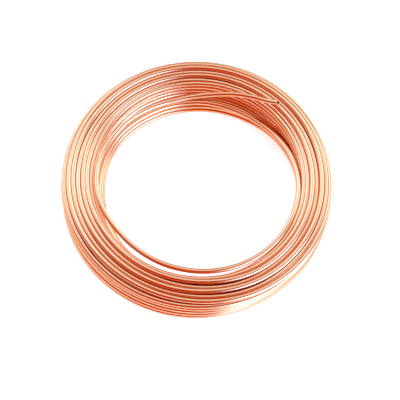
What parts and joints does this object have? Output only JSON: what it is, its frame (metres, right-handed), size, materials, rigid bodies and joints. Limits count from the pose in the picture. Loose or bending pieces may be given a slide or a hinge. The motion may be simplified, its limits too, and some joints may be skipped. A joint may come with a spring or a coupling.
{
  "type": "copper tube coil",
  "caption": "flat-lying ring-shaped coil of soft round copper tube, with a wide open centre, a loose inner turn and a raised open free end",
  "frame": {"origin": "centre of the coil, on the floor that it lies on", "axes": "+Z is the coil's axis, up from the floor; -Y is the front, where the loose inner turn hangs clear; the free end lies at the back and points along +X"},
  "size_m": [0.329, 0.329, 0.0554],
  "materials": {
    "copper": "bright drawn copper, lightly polished"
  },
  "bodies": {
    "root": {"tube_coil": "copper"}
  },
  "joints": []
}
